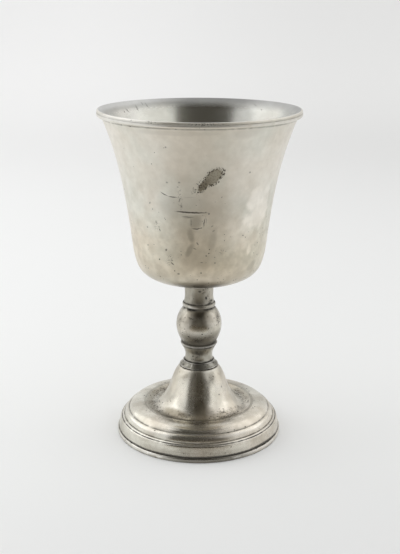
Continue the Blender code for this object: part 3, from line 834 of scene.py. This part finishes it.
bowl_pewter = pewter("bowl_pewter", (0.81, 0.786, 0.728), (0.60, 0.560, 0.480), 0.38, 0.14, 0.7)
shader, skin = skin_of(bowl_pewter)
middle_radius, bowl_reach = 0.037, 1000.0 * (bowl_top - bowl_foot)
face = face_place(bowl_pewter, middle_radius, datum=bowl_foot)
across, up = face
tree = bowl_pewter.node_tree
spot = place_node(tree, "TexCoord").outputs["Object"]
smear, pin = noise_at(spot, 240.0, 4.0), cells_at(spot, 1450.0)[0]
scratches = marks(face, [
    (-16.2, 52.8, 2.4, 0.4, 0.85, -26, 0.3), (-12, 51.7, 2.8, 0.4, 0.85, -4, 0.2),
    (-4.5, 51.9, 3.6, 0.14, 0.3, 1), (-3.6, 44.5, 9.4, 0.58, 0.95, -1, 0.1),
    (-7.5, 44.7, 4.4, 0.55, 0.9, -2), (-5.4, 42.3, 3.8, 0.3, 0.6, -4),
    (-1, 36.4, 3.6, 0.36, 0.8, 6, 1.2), (2.3, 39.6, 3.2, 0.45, 0.65, 82, -0.4),
    (-3.8, 39.6, 3, 0.34, 0.45, 92, 0.2), (3.4, 40.4, 2, 0.26, 0.4, 86),
    (-0.8, 29, 1.1, 0.4, 0.75, -58, 0.1), (-2.2, 26.4, 1.2, 0.3, 0.65, -20),
    (-14.4, 18.2, 1.5, 0.45, 0.85, -38, 0.1), (-20.6, 34.6, 1, 0.42, 0.8, -70),
    (1.4, 19.4, 1.1, 0.35, 0.6, -10), (-29.6, 25.6, 0.9, 0.35, 0.7, 20),
    (78, 46, 7, 0.35, 0.7, 12, 0.6), (92, 31, 3.4, 0.35, 0.65, -50, 0.3),
    (-74, 38, 8, 0.4, 0.75, -8, 0.5), (-96, 55, 4, 0.3, 0.6, 34, 0.2), (112, 60, 5, 0.3, 0.6, -20, 0.4),
    (58, 22, 2.6, 0.4, 0.65, 64, 0.2),
], "Line")
# Bright lines along scratches: burnished edges and painted highlight.
scratch_rubs_and_glints = marks(face, [
    (-4, 43.7, 8.6, 0.32, 0.8, -1, 0.1), (-14.4, 52.6, 2.8, 0.3, 0.7, -14, 0.5),
    (-1, 35.7, 3, 0.25, 0.5, 6, 1.1),
], "Line")
# Smudges are stains, and those under the lip and low on the heel are painted shade.
smudges_and_shade = marks(face, [
    (-1.8, 39.8, 4.6, 3.6, 0.42, 70), (-4.2, 33, 4.6, 1.9, 0.5, -78, 0.4), (-5, 25.2, 5, 1.8, 0.55, 62),
    (6.6, 30, 8, 2.4, 0.28, 80), (-0.5, 21, 13, 6, 0.22, 10), (-2, 47, 9, 7.5, 0.12, 80),
    (-11, 46.5, 11, 6.5, 0.22, -10), (-4, 42.2, 6, 1.3, 0.35), (17, 82, 9, 3, 0.18, 4),
    (-10, 82.4, 20, 1.4, 0.14), (-14, 20, 10, 9, 0.12, 20), (27, 16, 8, 4, 0.14, -10),
    (33, 14.4, 5.5, 3, 0.36, 30), (-29, 13, 17, 10, 0.16), (84, 36, 12, 6, 0.2, 60),
    (-84, 26, 11, 5, 0.2, -40), (112, 22, 9, 6, 0.18, 20), (-112, 48, 10, 5, 0.16, 80),
    (32, 13, 15, 9, 0.13), (-24, 15, 4.5, 2.5, 0.28, 10),
])
corroded = marks(face, [(6.1, 61.9, 6.2, 3.7, 1, 50), (2, 57.7, 4.6, 2.1, 1, 50)])
gnawed = marks(face, [
    (0.6, 57.2, 5.6, 3, 1, 48), (-16, 20, 4, 2.2, 0.5, 60), (12, 24.6, 3.2, 1.6, 0.4),
    (-22, 36.5, 3.4, 2, 0.35, 70), (-8.7, 51.5, 7.5, 1.4, 0.4, 92),
    (2, bowl_reach - 1.6, 7.5, 0.9, 0.75), (-16.5, bowl_reach - 1.4, 2.2, 0.9, 0.85),
])
dots = marks(face, [
    (-17.5, 24.8, 0.9, 0.5, 0.75, 40), (-11.4, 13, 0.9, 0.5, 0.7, 10), (1.1, 14, 0.6, 0.5, 0.65),
    (7, 35.3, 0.8, 0.4, 0.45, 30), (6.2, 37.6, 0.8, 0.4, 0.45, 30), (-22.4, 38.3, 0.9, 0.4, 0.55, 80),
    (-28.7, 34.8, 0.6, 0.5, 0.5), (-24.6, 47.5, 0.8, 0.5, 0.55, 70), (-14.2, 58.6, 0.6, 0.5, 0.45),
    (-8.7, 59, 0.6, 0.5, 0.45), (-9.5, 56.8, 0.5, 0.4, 0.35), (-8.6, 53.2, 0.7, 0.3, 0.4, 40),
    (-8.8, 50.6, 1.1, 0.4, 0.55, 70), (-8.2, 47.4, 1, 0.5, 0.55, 120), (-12.9, 75.7, 0.5, 0.5, 0.5),
    (22.5, 62.9, 0.6, 0.5, 0.45),
])
nicks = marks(face, [
    (-86.9, 85, 2, 0.7, 0.45, 80, 0.3), (-92.4, 85.8, 1.8, 0.4, 0.42, 66, 0.2),
    (-90.4, 86.8, 1.2, 0.35, 0.4, 78), (-80.9, 84.3, 1.8, 0.6, 0.42, 56, 0.2),
    (-78.8, 83.9, 1, 0.5, 0.55, 70), (58, 86.4, 1.4, 0.6, 0.65, 84),
    (103.9, 81, 1.8, 0.3, 0.3, 60, 0.2), (91.3, 86.2, 1.6, 0.3, 0.35, 30),
    (-20, 70, 4, 0.35, 0.45, 50, 0.4), (40, 60, 5, 0.3, 0.4, -40, 0.5),
], "Line")
# Polished places on the right, painted bright as highlights where the dents face the light.
polished_and_highlit = marks(face, [
    (32, 41.5, 9.5, 8, 0.85, 80), (26.5, 38, 7, 6.5, 0.75, 30), (37, 50, 6, 4, 0.6, 70),
    (34, 42, 10, 8.5, 1.1, 80), (28.5, 48, 8, 6.5, 0.95, 80), (29, 23.3, 3.6, 2.2, 0.55, 80),
])
broken = scaled(smear, 1.3, -0.15, clamp=True)
smudges_and_shade = times(smudges_and_shade, worked("ADD", broken, 0.35, clamp=True))
ragged = scaled(smear, 0.9, -0.45)
fretted = worked("ADD", corroded, times(ragged, ramp(corroded, 0.0, 0.2)))
corroded = ramp(fretted, 0.32, 0.75)
inner_skin = place_node(tree, "Attribute", attribute_name="inside").outputs["Fac"]
outer_skin = inverse(inner_skin)
creased = place_node(tree, "Attribute", attribute_name="groove").outputs["Fac"]
feed(skin.inputs["Groove"], times(creased, scaled(inner_skin, -0.75, 1.0)))
outer_masks = (scratches, scratch_rubs_and_glints, smudges_and_shade, corroded)
scratches, scratch_rubs_and_glints, smudges_and_shade, corroded = (times(mask, outer_skin) for mask in outer_masks)
polished_and_highlit = times(ramp(scaled(smear, 0.9, polished_and_highlit), 0.45, 1.50), outer_skin)
border = times(ramp(fretted, 0.08, 0.32), ramp(fretted, 0.90, 0.55))
eaten = most(border, times(corroded, 0.30))
eaten = times(most(eaten, gnawed), outer_skin)
dots = most(times(dots, outer_skin), times(nicks, inner_skin))
dots = most(dots, times(eaten, ramp(pin, 0.48, 0.26)))
# Painted shade on the front of the bowl's underside, by the neck.
sides = ramp(worked("ABSOLUTE", across), 23.0, 9.0)
under = times(ramp(up, 9.4, 5.0), sides, outer_skin)
rim_wear = times(ramp(up, bowl_reach - 5.2, bowl_reach - 0.2), inner_skin)
lip_zone = times(ramp(up, bowl_reach - 4.5, bowl_reach - 3.7), outer_skin)
low_wear = ramp(up, 55.0, 8.0)
feed(skin.inputs["Pitting"], times(scaled(low_wear, 0.42, 0.08), scaled(inner_skin, -0.8, 1.0)))
finish = scaled(inner_skin, -0.22, 0.40)
finish = scaled(times(ramp(up, 40.0, 6.0), inner_skin), 0.16, finish)
finish = scaled(rim_wear, 0.25, scaled(lip_zone, -0.08, finish))
finish = scaled(times(ramp(up, 12.0, 5.0), outer_skin), -0.12, finish)
feed(skin.inputs["Roughness"], finish)
high = ramp(up, 30.0, 74.0)
bare = scaled(high, -0.20, 0.84)
bare = most(bare, times(inner_skin, 0.96))
bare = scaled(rim_wear, -0.65, most(bare, times(lip_zone, 0.84)))
feed(skin.inputs["Bare"], bare)
stain = scaled(high, -0.25, 0.62)
feed(skin.inputs["Stain"], scaled(inner_skin, -0.25, stain))
feed(shader.inputs["Coat Weight"], 0.45)
feed(shader.inputs["Coat Roughness"], 0.22)
# The inside is painted darker and cooler; the darkening is painted shade.
tint = mix(inner_skin, skin.outputs["Color"], (0.79, 0.81, 0.84), "MULTIPLY")
# The inside's left is painted brighter, as wiped metal and painted highlight.
wiped_and_highlit = times(marks(face, [(-99, 74, 17, 16, 1)]), inner_skin)
tint = mix(wiped_and_highlit, tint, (1.30, 1.28, 1.23), "MULTIPLY")
# The inside's right is painted darker, as painted shade.
greyed = times(marks(face, [(82, 76, 15, 14, 0.9)]), inner_skin)
tint = mix(greyed, tint, (0.84, 0.84, 0.83), "MULTIPLY")
rim_light = marks(face, [(-76, bowl_reach - 0.4, 36, 2.4, 0.9), (78, bowl_reach - 1, 16, 5, 0.35)])
rim_tint = mix(rim_light, (0.27, 0.27, 0.266), (0.66, 0.66, 0.65))
tint = mix(times(rim_wear, 0.85), tint, rim_tint)
rim_dark = marks(face, [(104, bowl_reach - 2.6, 14, 4, 0.28), (-114, bowl_reach - 3, 9, 3, 0.2)])
tint = mix(times(rim_dark, inner_skin), tint, (0.12, 0.12, 0.118))
tint = mix(times(lip_zone, 0.5), tint, (0.80, 0.79, 0.76), "MULTIPLY")
tint = mix(times(polished_and_highlit, 0.78), tint, (0.98, 0.935, 0.86))
bloom = mix(ramp(smear, 0.34, 0.66), (0.905, 0.90, 0.88), (1.065, 1.065, 1.06))
tint = mix(scaled(low_wear, 0.6, 0.35), tint, bloom, "MULTIPLY")
warm = times(ramp(up, 50.0, 14.0), outer_skin)
tint = mix(warm, tint, (0.985, 0.945, 0.875), "MULTIPLY")
deeper = times(marks(face, [(1.5, 57.2, 5.4, 3.2, 0.5, 50)]), corroded)
beaded = scaled(ramp(pin, 0.62, 0.36), 0.85, 0.12)
deeper = most(deeper, times(border, beaded, outer_skin))
heel_shade = times(ramp(up, 16.0, 5.0), outer_skin)
glint = times(marks(face, [
    (-31, bowl_reach - 1.6, 18, 1.4, 0.45), (-4, bowl_reach - 2.4, 16, 0.9, 0.35),
    (104, bowl_reach - 1.6, 24, 1.4, 0.35),
]), outer_skin)
for share, colour in (
    (smudges_and_shade, (0.20, 0.175, 0.13)),
    (times(corroded, 0.70), (0.23, 0.200, 0.132)),
    (deeper, (0.105, 0.086, 0.052)),
    (times(heel_shade, 0.37), (0.22, 0.196, 0.15)),
    (times(under, 0.88), (0.06, 0.05, 0.036)),
    (scratch_rubs_and_glints, (0.86, 0.83, 0.77)),
    (glint, (0.98, 0.97, 0.94)),
    (scratches, (0.06, 0.052, 0.04)),
    (dots, (0.05, 0.044, 0.034)),
):
    tint = mix(share, tint, colour)
feed(shader.inputs["Base Color"], tint)
cut = times(skin.outputs["Height"], scaled(inner_skin, -0.75, 1.0))
cut = scaled(most(scratches, dots), -1.4, cut)
feed(tree.nodes["Bump"].inputs["Height"], cut)
dress(bowl, "bowl", bowl_pewter)


# Stage: a pale sweep of paper under and behind the chalice, painted with light falling off, three soft
# boxes round it, and a dark flag round the camera's side that only the metal's gloss sees; the flag
# glows as a painted reflection.

def sheets(name, *grids):
    """An object of open sheets, each a grid of rows of points."""
    points, faces = [], []
    for rows in grids:
        width = len(rows[0])
        corners = [len(points) + i * width + k for i in range(len(rows) - 1) for k in range(width - 1)]
        faces += [(a, a + 1, a + width + 1, a + width) for a in corners]
        points += [point for row in rows for point in row]
    mesh = bpy.data.meshes.new(name)
    mesh.from_pydata(points, [], faces)
    return stood(mesh)


paper_reach, paper_bend, paper_top, bend_start = 9.0, 1.6, 4.0, 1.2
sweep_line = [(-paper_reach, 0.0), (bend_start, 0.0)]
for a in np.linspace(0.06, math.pi / 2, 24):
    sweep_line.append((bend_start + paper_bend * math.sin(a), paper_bend - paper_bend * math.cos(a)))
sweep_line += [(bend_start + paper_bend, paper_top)]
floor = sheets("paper_sweep", [[(x, y, z) for y, z in sweep_line] for x in (paper_reach, -paper_reach)])
floor.data.shade_smooth()
paper_look, shader = new_look("paper")
x, away, z = axes_of(paper_look.node_tree)
# The paper is painted with light falling off: lighter on the left than the right, darker at the bend and near
# the camera, lighter again up the back.
across = ramp(x, -0.35, 0.35)
paper_front = mix(across, (0.945, 0.955, 0.95), (0.845, 0.85, 0.845))
paper_back = mix(across, (0.87, 0.87, 0.867), (0.765, 0.765, 0.758))
paper_far = mix(across, (0.985, 0.985, 0.982), (0.89, 0.89, 0.883))
paper_near = mix(across, (0.87, 0.875, 0.873), (0.76, 0.765, 0.763))
tint = mix(ramp(away, -0.15, 1.2), paper_front, paper_back)
tint = mix(ramp(away, 0.8, 1.7), tint, paper_far)
tint = mix(ramp(away, -0.04, -0.16), tint, paper_near)
feed(shader.inputs["Base Color"], tint)
feed(shader.inputs["Roughness"], 0.9)
floor.data.materials.append(paper_look)

flag_steps = 24
flag_rows = []
for radius, height, left, right in (
    (0.135, 0.002, -43.0, 43.0),
    (0.34, 0.002, -43.0, 43.0),
    (0.34, 0.16, -43.0, 42.0),
    (0.34, 0.26, -45.0, 31.0),
    (0.34, 0.38, -53.0, 38.0),
    (0.34, 0.52, -53.0, 39.0),
    (0.34, 0.66, -43.0, 28.0),
    (0.32, 0.80, -43.0, 46.0),
):
    turns = [math.radians(left + (right - left) * k / flag_steps) for k in range(flag_steps + 1)]
    flag_rows.append([(radius * math.sin(a), -radius * math.cos(a), height) for a in turns])
panel_half = 0.34
panel = [[(x, y, z) for x in (-panel_half, panel_half)] for y, z in ((-0.30, 0.82), (0.12, 1.15))]
dark_flag = sheets("dark_flag", flag_rows, panel)
flag_look, shader = new_look("flag_glow")
x, y, z = axes_of(flag_look.node_tree)
# The flag glows as a painted reflection: bright floor next to the chalice, brown floor further out, dark
# above.
tint = mix(ramp(y, -0.10, -0.25), (0.82, 0.77, 0.67), (0.200, 0.156, 0.096))
tint = mix(ramp(z, 0.0, 0.07), tint, (0.067, 0.060, 0.047))
feed(shader.inputs["Base Color"], (0.0, 0.0, 0.0))
feed(shader.inputs["Specular IOR Level"], 0.0)
feed(shader.inputs["Emission Color"], tint)
feed(shader.inputs["Emission Strength"], 1.0)
dark_flag.data.materials.append(flag_look)
dark_flag.visible_camera = False
dark_flag.visible_diffuse = False
dark_flag.visible_shadow = False

aim = Vector((0.0, 0.0, 0.09))
for name, place, size, power in (
    ("soft_box_left", (-1.08, 0.34, 0.98), (1.35, 1.35), 3.7),
    ("soft_box_right", (1.05, 0.42, 0.95), (1.25, 1.25), 1.7),
    ("soft_box_top", (0.0, 0.70, 1.35), (1.6, 1.0), 1.2),
):
    lamp = bpy.data.lights.new(name, "AREA")
    lamp.shape = "RECTANGLE"
    lamp.size, lamp.size_y = size
    lamp.energy = power
    holder = bpy.data.objects.new(name, lamp)
    holder.location = place
    holder.rotation_euler = (aim - Vector(place)).to_track_quat("-Z", "Y").to_euler()
    bpy.context.scene.collection.objects.link(holder)

world = bpy.data.worlds.new("studio")
bpy.context.scene.world = world
world.use_nodes = True
sky = world.node_tree.nodes["Background"]
feed(sky.inputs["Color"], (1.0, 1.0, 1.0))
feed(sky.inputs["Strength"], 0.84)

sensor_width, focal_pixels, photo_height = 36.0, 954.3, 554
look_down, roll = math.radians(16.4), math.radians(0.2)
eye = bpy.data.cameras.new("camera")
eye.sensor_width = sensor_width
eye.lens = sensor_width * focal_pixels / photo_height
camera = bpy.data.objects.new("camera", eye)
camera.location = (0.00046, -0.4715, 0.2226)
tilt = Matrix.Rotation(math.pi / 2 - look_down, 3, "X") @ Matrix.Rotation(roll, 3, "Z")
camera.rotation_euler = tilt.to_euler()
bpy.context.scene.collection.objects.link(camera)
bpy.context.scene.camera = camera
bpy.context.scene.view_settings.view_transform = "Standard"
